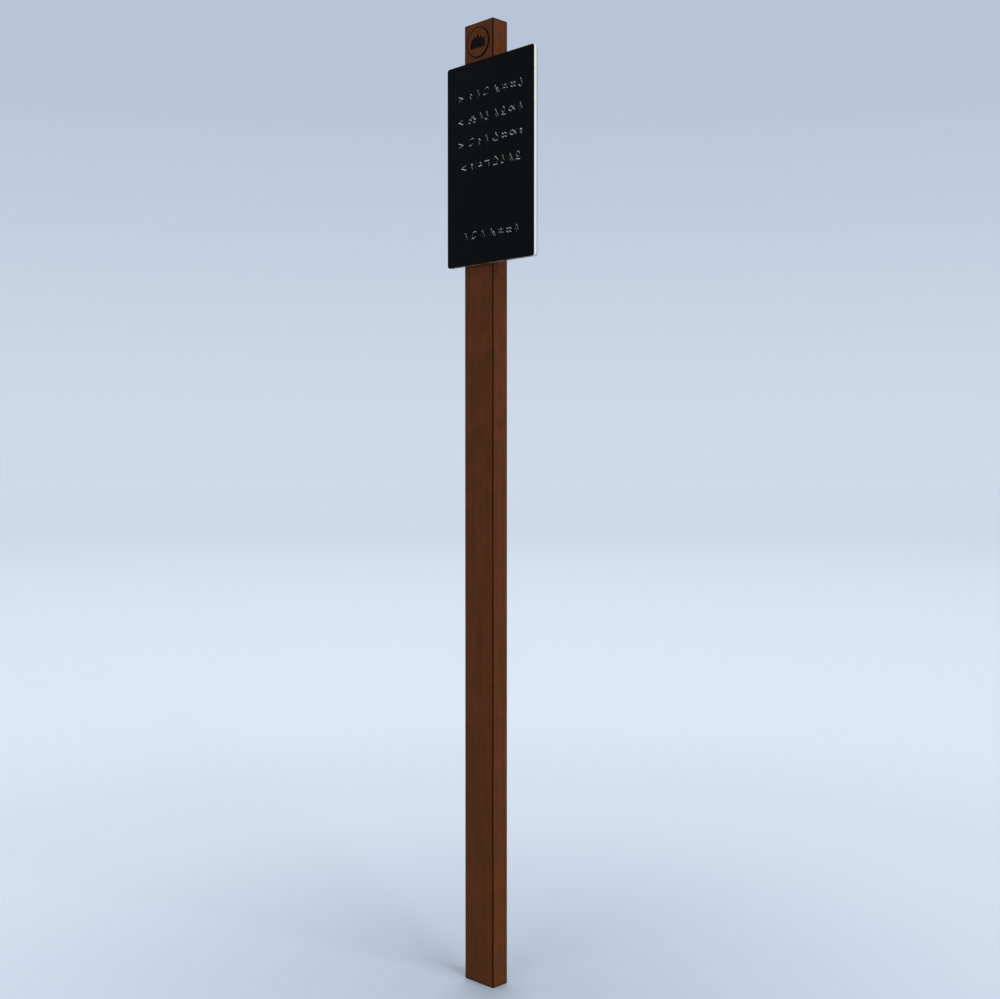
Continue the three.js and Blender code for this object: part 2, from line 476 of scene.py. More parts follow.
@dataclass(frozen=True)
class LumberFinish:
    """Matt brown plastic lumber, streaked lengthwise, with darker arrises and porous sawn ends."""

    light: str = "#5d341b"
    dark: str = "#4d2c17"
    arris: str = "#0e0602"
    sawn: str = "#5a351f"
    # Dark spots on the sawn ends are painted shade, standing in for fine open pores.
    pore_shade: str = "#2a1509"
    arris_width: float = 2.6 * MM
    arris_softness: float = 0.4 * MM
    sawn_depth: float = 1 * MM
    specular: float = 0.04
    roughness: tuple[float, float] = (0.58, 0.78)
    streak_share: float = 0.6
    streak_scales: tuple[float, float, float] = (160, 160, 3)
    streak_roughness: float = 0.6
    fine_streak_scales: tuple[float, float, float] = (620, 620, 9)
    mottle_scale: float = 22
    grain_limits: tuple[float, float] = (0.34, 0.66)
    grain_depth: float = 0.25 * MM
    pit_scale: float = 420
    pit_limits: tuple[float, float] = (0.62, 0.72)
    pit_depth: float = 0.2 * MM
    pit_strength: float = 0.4
    pore_shade_scale: float = 330
    pore_shade_limits: tuple[float, float] = (0.54, 0.66)
    saw_mark_scales: tuple[float, float, float] = (60, 900, 60)

    def material(self, low: Vector, high: Vector) -> bpy.types.Material:
        """Makes the finish for one post.

        Args:
            low: Lowest corner of the post.
            high: Highest corner of the post.

        Returns:
            The material.
        """
        material, sheet = NodeSheet.of_material("brown_plastic_lumber")
        place = sheet.place()
        long_place = sheet.stretched(place, self.streak_scales)
        streaks = sheet.noise(long_place, detail=3, rough=self.streak_roughness)
        fine = sheet.noise(sheet.stretched(place, self.fine_streak_scales), detail=2)
        mottle = sheet.noise(place, self.mottle_scale, detail=3)
        tone = sheet.mixed(self.streak_share, streaks, mottle)
        grain = sheet.blend(sheet.between(tone, *self.grain_limits), paint(self.dark), paint(self.light))
        # Painted shade of fine open pores: dark spots scattered over the sawn ends.
        pores = sheet.between(sheet.noise(place, self.pore_shade_scale, detail=2), *self.pore_shade_limits)
        sawn = sheet.blend(pores, paint(self.sawn), paint(self.pore_shade))
        end = self.on_ends(sheet, place, low, high)
        arrises = self.on_arrises(sheet, place, low, high)
        pits = sheet.between(sheet.noise(place, self.pit_scale, detail=1), *self.pit_limits)
        saw = sheet.noise(sheet.stretched(place, self.saw_mark_scales), detail=2)
        along = sheet.math("MULTIPLY", sheet.mixed(self.streak_share, streaks, fine),
                           sheet.math("SUBTRACT", 1.0, end))
        height = sheet.math("ADD", along, sheet.math("MULTIPLY", saw, end))
        coarse = sheet.bump(height, self.grain_depth)
        normal = sheet.bump(sheet.math("SUBTRACT", 1.0, pits), self.pit_depth, self.pit_strength, coarse)
        sheet.surface({
            "Base Color": sheet.blend(arrises, sheet.blend(end, grain, sawn), paint(self.arris)),
            "Roughness": sheet.span(fine, *self.roughness),
            "Specular IOR Level": self.specular,
            "Normal": normal,
        })
        return material

    def on_arrises(self, sheet: NodeSheet, place: Socket, low: Vector, high: Vector) -> Socket:
        """Is 1 on the rounded edges of the post, where two of its outer zones meet."""
        centred = sheet.vector("ABSOLUTE", sheet.vector("SUBTRACT", place, (low + high) / 2))
        start = (high - low) / 2 - Vector((self.arris_width,) * 3)
        past = sheet.parts(sheet.vector("SUBTRACT", centred, start))
        zones = [sheet.between(value, 0, self.arris_softness) for value in past]
        pairs = [sheet.math("MULTIPLY", zones[i], zones[j]) for i, j in ((0, 1), (1, 2), (0, 2))]
        return sheet.math("MAXIMUM", sheet.math("MAXIMUM", *pairs[:2]), pairs[2])

    def on_ends(self, sheet: NodeSheet, place: Socket, low: Vector, high: Vector) -> Socket:
        """Is 1 on the sawn faces at the top and the foot."""
        middle = (low.z + high.z) / 2
        reach = sheet.math("ABSOLUTE", sheet.math("SUBTRACT", sheet.parts(place)[2], middle))
        return sheet.math("GREATER_THAN", reach, (high.z - low.z) / 2 - self.sawn_depth)


@dataclass(frozen=True)
class DiscFinish:
    """Smooth moulded brown plastic, dark round its rim, and near-black in its pockets."""

    light: str = "#5a3119"
    dark: str = "#4f2b16"
    rim: str = "#0d0602"
    pocket_black: str = "#050302"
    rim_width: float = 2.6 * MM
    rim_softness: float = 0.4 * MM
    filled_skin: float = 0.25 * MM
    specular: float = 0.04
    roughness: tuple[float, float] = (0.46, 0.6)
    cloud_scale: float = 60
    cloud_limits: tuple[float, float] = (0.36, 0.64)
    peel_scale: float = 900
    peel_depth: float = 0.05 * MM

    def material(self, centre: Vector, radius: float) -> bpy.types.Material:
        """Makes the finish for one disc.

        Args:
            centre: Middle of the disc's face.
            radius: The disc's radius.

        Returns:
            The material.
        """
        material, sheet = NodeSheet.of_material("brown_moulded_disc")
        place = sheet.place()
        offset = sheet.vector("SUBTRACT", place, centre)
        depth = sheet.parts(offset)[1]
        flat = sheet.vector("MULTIPLY", offset, (1, 0, 1))
        reach = sheet.length(flat)
        rim_start = radius - self.rim_width
        face_end = rim_start - self.rim_softness
        cloud = sheet.noise(place, self.cloud_scale, detail=3)
        peel = sheet.noise(place, self.peel_scale, detail=1)
        brown = sheet.blend(sheet.between(cloud, *self.cloud_limits), paint(self.dark), paint(self.light))
        rimmed = sheet.blend(sheet.between(reach, face_end, rim_start), brown, paint(self.rim))
        # The pockets are coloured near-black, from just below the face down.
        in_pocket = sheet.math("MULTIPLY", sheet.between(depth, 0, self.filled_skin),
                            sheet.math("LESS_THAN", reach, face_end))
        sheet.surface({
            "Base Color": sheet.blend(in_pocket, rimmed, paint(self.pocket_black)),
            "Roughness": sheet.span(cloud, *self.roughness),
            "Specular IOR Level": self.specular,
            "Normal": sheet.bump(peel, self.peel_depth),
        })
        return material


@dataclass(frozen=True)
class SkinFinish:
    """Black sheet plastic with a fine pebbled face and a few faint rubs."""

    light: str = "#080808"
    dark: str = "#050505"
    rub: str = "#101010"
    specular: float = 0.03
    roughness: tuple[float, float] = (0.5, 0.6)
    pebble_scale: float = 1500
    pebble_depth: float = 0.05 * MM
    cloud_scale: float = 18
    rub_scales: tuple[float, float, float] = (30, 30, 900)
    rub_turn: float = math.radians(24)
    rub_limits: tuple[float, float] = (0.66, 0.74)
    rub_patch_limits: tuple[float, float] = (0.5, 0.62)
    rub_share: float = 0.5
    rub_roughness: float = 0.1

    def material(self) -> bpy.types.Material:
        """Makes the finish."""
        material, sheet = NodeSheet.of_material("black_pebbled_skin")
        place = sheet.place()
        cloud = sheet.noise(place, self.cloud_scale, detail=4)
        pebble = sheet.noise(place, self.pebble_scale, detail=1)
        turn = {"Vector": place, "Rotation": (0, self.rub_turn, 0)}
        slanting = sheet.add("ShaderNodeMapping", turn).outputs[0]
        rubs = sheet.noise(sheet.stretched(slanting, self.rub_scales), detail=2)
        rubbed = sheet.math("MULTIPLY", sheet.between(rubs, *self.rub_limits),
                            sheet.between(cloud, *self.rub_patch_limits))
        black = sheet.blend(cloud, paint(self.dark), paint(self.light))
        share = sheet.math("MULTIPLY", rubbed, self.rub_share)
        rougher = sheet.math("MULTIPLY", rubbed, self.rub_roughness)
        sheet.surface({
            "Base Color": sheet.blend(share, black, paint(self.rub)),
            "Roughness": sheet.math("ADD", sheet.span(cloud, *self.roughness), rougher),
            "Specular IOR Level": self.specular,
            "Normal": sheet.bump(pebble, self.pebble_depth),
        })
        return material


@dataclass(frozen=True)
class CoreFinish:
    """White sheet plastic where it is sawn and routed, with fine cutter marks across its edge."""

    light: str = "#e6ebe9"
    dark: str = "#dadfdd"
    fresh: str = "#f4f7f6"
    # Dark grey that a blade drags along the edge near either skin, also used as painted shade on the
    # walls of the pictures.
    smear_and_wall_shade: str = "#1c1c1b"
    # Painted shade on the sheet's underside, laid in soft patches.
    underside_shade: str = "#5c605d"
    underside_shade_height: float = 0.2 * MM
    underside_shade_scale: float = 90
    underside_shade_limits: tuple[float, float] = (0.2, 0.55)
    smear_width: float = 0.5 * MM
    smear_fade: float = 0.5 * MM
    floor_margin: float = 0.1 * MM
    specular: float = 0.3
    roughness: tuple[float, float] = (0.4, 0.58)
    cloud_scale: float = 25
    mark_scales: tuple[float, float, float] = (1100, 40, 1100)
    swirl_scale: float = 700
    mark_depth: float = 0.06 * MM

    def material(
        self, low: Vector, high: Vector, corner_radius: float, pocket_depth: float
    ) -> bpy.types.Material:
        """Makes the finish for one core sheet.

        Args:
            low: Lowest corner of the sheet.
            high: Highest corner of the sheet.
            corner_radius: Radius of its round corners.
            pocket_depth: Depth of the routed pictures in the sheet.

        Returns:
            The material.
        """
        material, sheet = NodeSheet.of_material("white_routed_core")
        place = sheet.place()
        marks = sheet.noise(sheet.stretched(place, self.mark_scales), detail=1)
        swirl = sheet.noise(place, self.swirl_scale, detail=2)
        cloud = sheet.noise(place, self.cloud_scale, detail=3)
        white = sheet.blend(cloud, paint(self.dark), paint(self.light))
        on_edge, smeared_and_shaded = self.on_smears_and_wall_shade(sheet, place, low, high, corner_radius, pocket_depth)
        # Painted shade: the underside of the sheet is darkened in soft patches.
        under = sheet.math("LESS_THAN", sheet.parts(place)[2], low.z + self.underside_shade_height)
        shade_patches = sheet.between(sheet.noise(place, self.underside_shade_scale, detail=3), *self.underside_shade_limits)
        edge = sheet.blend(sheet.math("MULTIPLY", under, shade_patches), white, paint(self.underside_shade))
        fresh = sheet.blend(on_edge, paint(self.fresh), edge)
        sheet.surface({
            "Base Color": sheet.blend(smeared_and_shaded, fresh, paint(self.smear_and_wall_shade)),
            "Roughness": sheet.span(swirl, *self.roughness),
            "Specular IOR Level": self.specular,
            "Normal": sheet.bump(marks, self.mark_depth),
        })
        return material

    def on_smears_and_wall_shade(
        self, sheet: NodeSheet, place: Socket, low: Vector, high: Vector, radius: float, pocket: float
    ) -> tuple[Socket, Socket]:
        """Finds the sawn edge, the places where a blade drags some of the skins' black along, and the
        walls of the pictures, which are darkened as painted shade.

        Args:
            sheet: Sheet of nodes to add to.
            place: Place on the piece.
            low: Lowest corner of the core.
            high: Highest corner of the core.
            radius: Radius of its round corners.
            pocket: Depth of the routed pictures.

        Returns:
            A socket that is 1 on the outer edge, and one that is 1 where it is darkened: on the edge
            close to either skin, where a blade drags the black, and on the walls of the pictures, as
            painted shade.
        """
        middle = (low + high) / 2
        half = (high - low) / 2
        straight = Vector((half.x - radius, half.y, half.z - radius))
        centred = sheet.vector("ABSOLUTE", sheet.vector("SUBTRACT", place, middle))
        past = sheet.vector("MAXIMUM", sheet.vector("SUBTRACT", centred, straight), (0, 0, 0))
        reach = sheet.length(past)
        on_edge = sheet.math("GREATER_THAN", reach, radius - self.smear_fade)
        clean_until = half.y - self.smear_width
        near_skin = sheet.between(sheet.parts(centred)[1], clean_until - self.smear_fade, clean_until)
        # The walls of the routed pictures take the dark grey as painted shade.
        on_wall = sheet.math("LESS_THAN", sheet.parts(place)[1], low.y + pocket - self.floor_margin)
        inside = sheet.math("MULTIPLY", on_wall, sheet.math("SUBTRACT", 1.0, on_edge))
        return on_edge, sheet.math("MAXIMUM", inside, sheet.math("MULTIPLY", on_edge, near_skin))


@dataclass(frozen=True)
class MetalFinish:
    """Turned metal, with fine rings about the axis of each fastener."""

    name: str
    colour: str
    tarnish: str
    roughness: float
    roughness_below: float = 0.08
    roughness_above: float = 0.12
    ring_scale: float = 2600
    ring_depth: float = 0.02 * MM
    ring_stretch: float = 0.6
    spot_scale: float = 260
    spot_limits: tuple[float, float] = (0.55, 0.72)
    spot_share: float = 0.5

    def material(self, across: float, top: float, pitch: float) -> bpy.types.Material:
        """Makes the finish for a grid of fasteners in two columns.

        Args:
            across: Distance of each column from the post's centre line.
            top: Height of the top row.
            pitch: Height between rows.

        Returns:
            The material.
        """
        material, sheet = NodeSheet.of_material(self.name)
        place = sheet.place()
        x, y, z = sheet.parts(place)
        side = sheet.math("SUBTRACT", sheet.math("ABSOLUTE", x), across)
        up = sheet.math("WRAP", sheet.math("SUBTRACT", z, top), pitch / 2, -pitch / 2)
        flat = sheet.add("ShaderNodeCombineXYZ", {0: side, 1: up}).outputs[0]
        along = sheet.math("MULTIPLY", y, self.ring_stretch)
        ring_place = sheet.add("ShaderNodeCombineXYZ", {0: sheet.length(flat), 1: along}).outputs[0]
        rings = sheet.noise(ring_place, self.ring_scale, detail=2)
        spots = sheet.between(sheet.noise(place, self.spot_scale, detail=3), *self.spot_limits)
        spotted = sheet.math("MULTIPLY", spots, self.spot_share)
        smoothest = self.roughness - self.roughness_below
        roughest = self.roughness + self.roughness_above
        sheet.surface({
            "Base Color": sheet.blend(spotted, paint(self.colour), paint(self.tarnish)),
            "Metallic": 1.0,
            "Roughness": sheet.span(rings, smoothest, roughest),
            "Normal": sheet.bump(rings, self.ring_depth),
        })
        return material


@dataclass(frozen=True)
class SoftLamp:
    """A large, even lamp far away."""

    name: str
    azimuth_degrees: float
    elevation_degrees: float
    level: float
    spread_degrees: float
    colour: str = "#ffffff"
    distance: float = 5

    def add(self) -> None:
        """Hangs the lamp; azimuth 0 is in front of the sign and 90 to its reader's right."""
        azimuth = math.radians(self.azimuth_degrees)
        elevation = math.radians(self.elevation_degrees)
        towards = Vector((
            math.sin(azimuth) * math.cos(elevation),
            -math.cos(azimuth) * math.cos(elevation),
            math.sin(elevation),
        ))
        data = bpy.data.lights.new(self.name, "SUN")
        data.energy = self.level * math.pi
        data.angle = math.radians(self.spread_degrees)
        data.color = paint(self.colour)[:3]
        lamp = bpy.data.objects.new(self.name, data)
        lamp.rotation_mode = "QUATERNION"
        lamp.rotation_quaternion = towards.to_track_quat("Z", "Y")
        lamp.location = towards * self.distance
        bpy.context.scene.collection.objects.link(lamp)


@dataclass
class Studio:
    """Pale floor and surroundings, soft lamps, and the camera at the photograph's viewpoint."""

    floor_radius: float = 150
    floor_sides: int = 96
    # The floor darkens towards the post's foot: a pool of painted shade that fades out by the near reach.
    foot_shade_colour: str = "#b5c2d5"
    near_colour: str = "#d5e1f1"
    far_colour: str = "#dbe7f7"
    horizon_colour: str = "#cedae9"
    upper_colour: str = "#b7c4d7"
    zenith_colour: str = "#9fb0c8"
    bounce: float = 0.5
    foot_shade_reach: float = -0.5
    near_reach: float = 1.9
    far_reach: float = 3.6
    horizon_reach: float = 26
    world_level: float = 0.32
    upper_height: float = 0.334
    camera_place: tuple[float, float, float] = (2.3973, -2.3484, 1.3055)
    camera_turn_degrees: float = 44.98
    camera_tilt_degrees: float = -1.19
    focal_share: float = 1.3161
    sensor_width: float = 36
    nearest_seen: float = 0.05
    lamps: tuple[SoftLamp, ...] = (
        SoftLamp("key_lamp", 86, 27, 0.631, 36),
        SoftLamp("front_lamp", 10, 15, 0.237, 40),
        SoftLamp("back_lamp", 228, 48, 0.362, 50),
        SoftLamp("side_lamp", -75, 26, 0.14, 50),
    )

    def build(self) -> None:
        """Sets up the view, the floor, the surroundings, the lamps and the camera."""
        bpy.context.scene.view_settings.view_transform = "Standard"
        self.lay_floor()
        self.paint_world()
        for lamp in self.lamps:
            lamp.add()
        self.set_camera()

    def lay_floor(self) -> None:
        """Lays the round floor, with painted shade darkening it about the post's foot, meeting the
        horizon's colour.
        """
        bpy.ops.mesh.primitive_circle_add(
            vertices=self.floor_sides, radius=self.floor_radius, fill_type="NGON"
        )
        floor = settle(bpy.context.object, "studio_floor")
        material, sheet = NodeSheet.of_material("studio_floor_paint")
        # The first stop of the ramp is painted shade about the post's foot.
        reaches = (self.foot_shade_reach, self.near_reach, self.far_reach, self.horizon_reach)
        codes = (self.foot_shade_colour, self.near_colour, self.far_colour, self.horizon_colour)
        colour = sheet.ramp(sheet.length(sheet.place()), reaches, codes)
        shown = self.seen_directly(sheet)
        neutral = (self.bounce, self.bounce, self.bounce, 1)
        diffuse = sheet.add("ShaderNodeBsdfDiffuse", {"Color": sheet.blend(shown, neutral, colour)})
        sheet.add("ShaderNodeOutputMaterial", {"Surface": diffuse.outputs[0]})
        floor.data.materials.append(material)

    def paint_world(self) -> None:
        """Paints the surroundings, which light the sign with a plain white level."""
        world = bpy.data.worlds.new("studio_surroundings")
        world.use_nodes = True
        world.node_tree.nodes.clear()
        sheet = NodeSheet(world.node_tree)
        way = sheet.add("ShaderNodeTexCoord").outputs["Generated"]
        rise = sheet.parts(way)[2]
        codes = (self.horizon_colour, self.upper_colour, self.zenith_colour)
        sky = sheet.ramp(rise, (0, self.upper_height, 1), codes)
        plain = sheet.add("ShaderNodeBackground", {"Color": (1, 1, 1, 1), "Strength": self.world_level})
        seen = sheet.add("ShaderNodeBackground", {"Color": sky, "Strength": 1.0})
        choice = {0: self.seen_directly(sheet), 1: plain.outputs[0], 2: seen.outputs[0]}
        chosen = sheet.add("ShaderNodeMixShader", choice)
        sheet.add("ShaderNodeOutputWorld", {"Surface": chosen.outputs[0]})
        bpy.context.scene.world = world

    def seen_directly(self, sheet: NodeSheet) -> Socket:
        """Is 1 for what the camera sees, straight or in a reflection."""
        path = sheet.add("ShaderNodeLightPath").outputs
        mirrored = sheet.math("MAXIMUM", path["Is Glossy Ray"], path["Is Transmission Ray"])
        return sheet.math("MAXIMUM", path["Is Camera Ray"], mirrored)

    def set_camera(self) -> None:
        """Sets the camera where the photograph was taken from."""
        data = bpy.data.cameras.new("photo_camera")
        data.sensor_width = self.sensor_width
        data.lens = self.focal_share * self.sensor_width
        data.clip_start = self.nearest_seen
        data.clip_end = 2 * self.floor_radius
        camera = bpy.data.objects.new("photo_camera", data)
        camera.location = self.camera_place
        tilt = math.pi / 2 + math.radians(self.camera_tilt_degrees)
        camera.rotation_euler = (tilt, 0, math.radians(self.camera_turn_degrees))
        bpy.context.scene.collection.objects.link(camera)
        bpy.context.scene.camera = camera


def arc(across: float, up: float, radius: float, start: float, end: float, steps: int) -> Stroke:
    """Gives points on an arc about a centre, between two angles in degrees."""
    angles = [math.radians(start + (end - start) * i / steps) for i in range(steps + 1)]
    return [(across + radius * math.cos(a), up + radius * math.sin(a)) for a in angles]


def lens(start: Point, end: Point, fullness: float, steps: int) -> Stroke:
    """Gives a closed leaf-like outline between two points, in shares of a pictogram's height."""
    along = (end[0] - start[0], end[1] - start[1])
    shares = [i / steps for i in range(steps + 1)]
    sides = [(share, fullness * math.sin(math.pi * share)) for share in shares]
    sides += [(share, -fullness * math.sin(math.pi * share)) for share in reversed(shares)]
    return [
        (start[0] + along[0] * t - along[1] * s, start[1] + along[1] * t + along[0] * s) for t, s in sides
    ]


def ripple(up: float, width: float, rise: float, steps: int) -> Stroke:
    """Gives a line of two waves, in shares of a pictogram's height."""
    return [
        (width * i / steps, up + rise * math.sin(4 * math.pi * i / steps)) for i in range(steps + 1)
    ]


class Pictogram(Enum):
    """Plain single-line pictures of things along a trail."""

    LEFT_ARROW = "left_arrow"
    RIGHT_ARROW = "right_arrow"
    BAR = "bar"
    PINE = "pine"
    PEAKS = "peaks"
    WAVES = "waves"
    TENT = "tent"
    SUN = "sun"
    WALKER = "walker"
    BICYCLE = "bicycle"
    TABLE = "table"
    CABIN = "cabin"
    LEAF = "leaf"
    FISH = "fish"
    BOAT = "boat"
    FIRE = "fire"
    FIGURE = "figure"
    SKIRTED_FIGURE = "skirted_figure"
    DROP = "drop"


STROKE_SHARES: dict[Pictogram, tuple[Stroke, ...]] = {
    Pictogram.LEFT_ARROW: (((0.8, 0.11), (0, 0.41), (0.8, 0.71)),),
    Pictogram.RIGHT_ARROW: (((0, 0.11), (0.8, 0.41), (0, 0.71)),),
    Pictogram.BAR: (((0, 0), (0, 1)),),
    Pictogram.PINE: (
        ((0, 0.2), (0.36, 1), (0.72, 0.2)),
        ((0.36, 0.5), (0.36, 0)),
    ),
    Pictogram.PEAKS: (
        ((0, 0), (0.42, 1), (0.84, 0)),
        ((0.68, 0.4), (0.82, 0.66), (1.16, 0)),
    ),
    Pictogram.WAVES: tuple(ripple(up, 0.92, 0.08, 20) for up in (0.24, 0.64)),
    Pictogram.TENT: (
        ((0, 0), (0.5, 0.94), (1, 0)),
        ((0.5, 0.4), (0.68, 0)),
    ),
    Pictogram.SUN: (
        arc(0.5, 0.5, 0.2, 0, 360, 18),
        *(
            (arc(0.5, 0.5, 0.38, turn, turn, 1)[0], arc(0.5, 0.5, 0.5, turn, turn, 1)[0])
            for turn in range(30, 390, 60)
        ),
    ),
    Pictogram.WALKER: (
        ((0.4, 0.98), (0.42, 0.97)),
        ((0.4, 0.74), (0.38, 0.42), (0.08, 0)),
        ((0.38, 0.42), (0.56, 0)),
        ((0.4, 0.74), (0.7, 0.5)),
    ),
    Pictogram.BICYCLE: (
        arc(0.24, 0.24, 0.24, 0, 360, 20),
        arc(1.06, 0.24, 0.24, 0, 360, 20),
        ((0.24, 0.24), (0.46, 0.66), (0.9, 0.66)),
        ((0.78, 0.88), (0.84, 0.88), (1.06, 0.24)),
    ),
    Pictogram.TABLE: (
        ((0.1, 0.7), (1, 0.7)),
        ((0.36, 0.7), (0.16, 0)),
        ((0.74, 0.7), (0.94, 0)),
    ),
    Pictogram.CABIN: (
        ((0, 0.5), (0.5, 1), (1, 0.5)),
        ((0.16, 0.4), (0.16, 0), (0.84, 0), (0.84, 0.4)),
    ),
    Pictogram.LEAF: (
        lens((0.14, 0.16), (0.86, 0.98), 0.32, 12),
        ((0, 0), (0.14, 0.16)),
    ),
    Pictogram.FISH: (
        lens((0, 0.5), (0.82, 0.5), 0.34, 12),
        ((1.08, 0.76), (0.82, 0.5), (1.08, 0.24)),
    ),
    Pictogram.BOAT: (
        ((0, 0.4), (0.2, 0.06), (0.86, 0.06), (1.06, 0.4)),
        ((0.5, 0.34), (0.5, 1), (0.92, 0.44)),
    ),
    Pictogram.FIRE: (
        lens((0.4, 0.26), (0.4, 1), 0.36, 12),
        ((0.04, 0.1), (0.76, 0)),
    ),
    Pictogram.FIGURE: (
        ((0.3, 0.98), (0.32, 0.97)),
        ((0.04, 0.5), (0.3, 0.74), (0.56, 0.5)),
        ((0.3, 0.74), (0.3, 0.4)),
        ((0.1, 0), (0.3, 0.4), (0.5, 0)),
    ),
    Pictogram.SKIRTED_FIGURE: (
        ((0.29, 0.98), (0.31, 0.97)),
        ((0, 0.26), (0.29, 0.74), (0.58, 0.26), (0, 0.26)),
        ((0.29, 0.26), (0.29, 0)),
    ),
    Pictogram.DROP: ((*arc(0.28, 0.28, 0.28, 150, 390, 18), (0.28, 0.98), (0.0376, 0.42)),),
}


@dataclass(frozen=True)
class LegendRow:
    """One routed line of the panel, measured from the panel's centre line and top edge."""

    baseline_drop: float
    groups: tuple[tuple[float, float, tuple[Pictogram, ...]], ...]
    arrow: tuple[Pictogram, float] | None = None


@dataclass
class Legend:
    """The routed pictures of the panel, as the cutters that make them."""

    centre: float
    top: float
    near: float
    floor: float
    stroke: float = 2.5 * MM
    picture_height: float = 23 * MM
    cutter_sides: int = 16
    rows: tuple[LegendRow, ...] = (
        LegendRow(93.5 * MM, (
            (-76.6 * MM, -3.8 * MM, (Pictogram.WALKER, Pictogram.PINE, Pictogram.LEAF)),
            (9.2 * MM, 114.2 * MM, (Pictogram.PEAKS, Pictogram.SUN, Pictogram.WAVES, Pictogram.DROP)),
        ), (Pictogram.RIGHT_ARROW, -113.3 * MM)),
        LegendRow(152.3 * MM, (
            (-76.6 * MM, -3.8 * MM, (Pictogram.BICYCLE, Pictogram.PINE, Pictogram.DROP)),
            (9.2 * MM, 114.2 * MM, (Pictogram.TENT, Pictogram.FIRE, Pictogram.FISH, Pictogram.PINE)),
        ), (Pictogram.LEFT_ARROW, -113.3 * MM)),
        LegendRow(211.1 * MM, (
            (-76.6 * MM, -3.8 * MM, (Pictogram.LEAF, Pictogram.WALKER, Pictogram.PINE)),
            (9.2 * MM, 114.2 * MM, (Pictogram.BOAT, Pictogram.WAVES, Pictogram.FISH, Pictogram.FIGURE)),
        ), (Pictogram.RIGHT_ARROW, -113.3 * MM)),
        LegendRow(269.6 * MM, ((-71.3 * MM, 107.2 * MM, (
            Pictogram.FIGURE, Pictogram.BAR, Pictogram.SKIRTED_FIGURE, Pictogram.TABLE,
            Pictogram.CABIN, Pictogram.DROP, Pictogram.TENT, Pictogram.FIRE,
        )),), (Pictogram.LEFT_ARROW, -102.8 * MM)),
        LegendRow(446 * MM, (
            (-95.8 * MM, -17 * MM, (Pictogram.PINE, Pictogram.LEAF, Pictogram.PINE)),
            (-4 * MM, 102.2 * MM, (Pictogram.PEAKS, Pictogram.SUN, Pictogram.WAVES, Pictogram.PINE)),
        )),
    )
    masters: dict[Pictogram, Piece] = field(default_factory=dict)

    def build(self) -> Piece:
        """Makes the cutter of every picture and puts them all in one object."""
        cutters: list[Piece] = []
        for row in self.rows:
            base = self.top - row.baseline_drop
            if row.arrow is not None:
                picture, start = row.arrow
                cutters.append(self.placed(picture, start, base))
            for start, end, pictures in row.groups:
                cutters += self.spread(pictures, start, end, base)
        for master in self.masters.values():
            throw_away(master)
        log.info("legend: %d routed pictures", len(cutters))
        return joined(cutters, "legend_cutters")

    def spread(
        self, pictures: Sequence[Pictogram], start: float, end: float, base: float
    ) -> list[Piece]:
        """Sets a group of pictures between two places, with even gaps."""
        widths = [self.width(picture) for picture in pictures]
        gap = (end - start - sum(widths)) / (len(pictures) - 1)
        places = [start + sum(widths[:i]) + i * gap for i in range(len(pictures))]
        return [self.placed(picture, at, base) for picture, at in zip(pictures, places)]

    def line_height(self) -> float:
        """Height between the centre lines of a picture's lowest and highest strokes."""
        return self.picture_height - self.stroke

    def width(self, picture: Pictogram) -> float:
        """Width of a picture over its strokes."""
        across = [point[0] for stroke in STROKE_SHARES[picture] for point in stroke]
        return (max(across) - min(across)) * self.line_height() + self.stroke

    def placed(self, picture: Pictogram, start: float, base: float) -> Piece:
        """Copies a picture's cutter to its place on the panel."""
        if picture not in self.masters:
            self.masters[picture] = self.master(picture)
        left = min(point[0] for stroke in STROKE_SHARES[picture] for point in stroke)
        x = self.centre + start + self.stroke / 2 - left * self.line_height()
        offset = Vector((x, 0, base + self.stroke / 2))
        return copied(self.masters[picture], f"{picture.value}_cutter", offset)

    def master(self, picture: Pictogram) -> Piece:
        """Models the cutter of one picture, with its lower left corner on the origin."""
        scale = self.line_height()
        bar = (self.stroke / 2, self.near, self.floor, self.cutter_sides)
        solid: Piece | None = None
        for stroke in STROKE_SHARES[picture]:
            places = [Vector((across * scale, 0, up * scale)) for across, up in stroke]
            for start, end in zip(places, places[1:]):
                slot = slot_cutter(start, end, *bar)
                solid = slot if solid is None else combine(solid, slot, "UNION")
        if solid is None:
            raise ValueError(f"{picture.value} has no strokes")
        return solid


def slot_cutter(
    start: Vector, end: Vector, radius: float, near: float, floor: float, sides: int
) -> Piece:
    """Models the path of a round cutter between two places: a bar along Y with half-round ends.

    Args:
        start: Place of the cutter's axis at the start.
        end: Place of the axis at the end.
        radius: The cutter's radius.
        near: Y where the bar starts, in front of the sheet.
        floor: Y of the slot's floor.
        sides: Number of sides of the cutter.

    Returns:
        The closed cutter.
    """
    travel = end - start
    heading = math.atan2(travel.z, travel.x)
    bpy.ops.mesh.primitive_circle_add(
        vertices=sides,
        radius=radius,
        fill_type="NGON",
        location=(start.x, near, start.z),
        rotation=(math.pi / 2, math.pi / sides - heading, 0),
    )
    cutter = settle(bpy.context.object, "slot_cutter")
    ahead = travel.normalized()
    with editing(cutter):
        choose(cutter, Kind.VERTS, lambda v: (v.co - start).dot(ahead) > 0)
        bpy.ops.transform.translate(value=travel)
        bpy.ops.mesh.select_mode(type="FACE")
        bpy.ops.mesh.select_all(action="SELECT")
        bpy.ops.mesh.extrude_region_move(TRANSFORM_OT_translate={"value": (0, floor - near, 0)})
        close_up()
    return cutter


